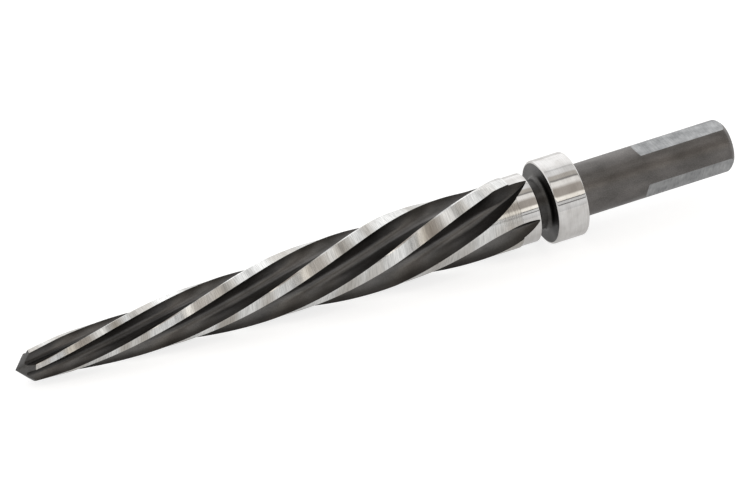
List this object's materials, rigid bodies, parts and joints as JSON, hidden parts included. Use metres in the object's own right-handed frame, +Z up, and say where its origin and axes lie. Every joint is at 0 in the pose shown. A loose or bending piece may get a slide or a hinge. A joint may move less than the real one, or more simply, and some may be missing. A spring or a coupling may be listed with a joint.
{
  "type": "machine reamer",
  "caption": "Tapered spiral-fluted machine reamer with a collar and a straight shank milled with flats, for opening and aligning bolt holes.",
  "frame": {"origin": "centre of the outline on the surface that the tool lies on", "axes": "+X along the tool from the point to the shank, rising about 2.4 degrees as it lies; +Z up"},
  "size_m": [0.1842, 0.0204, 0.0206],
  "materials": {
    "tool_steel": "ground lands and collar, black oxide flutes and shank"
  },
  "bodies": {
    "root": {"reamer": "tool_steel"}
  },
  "joints": []
}
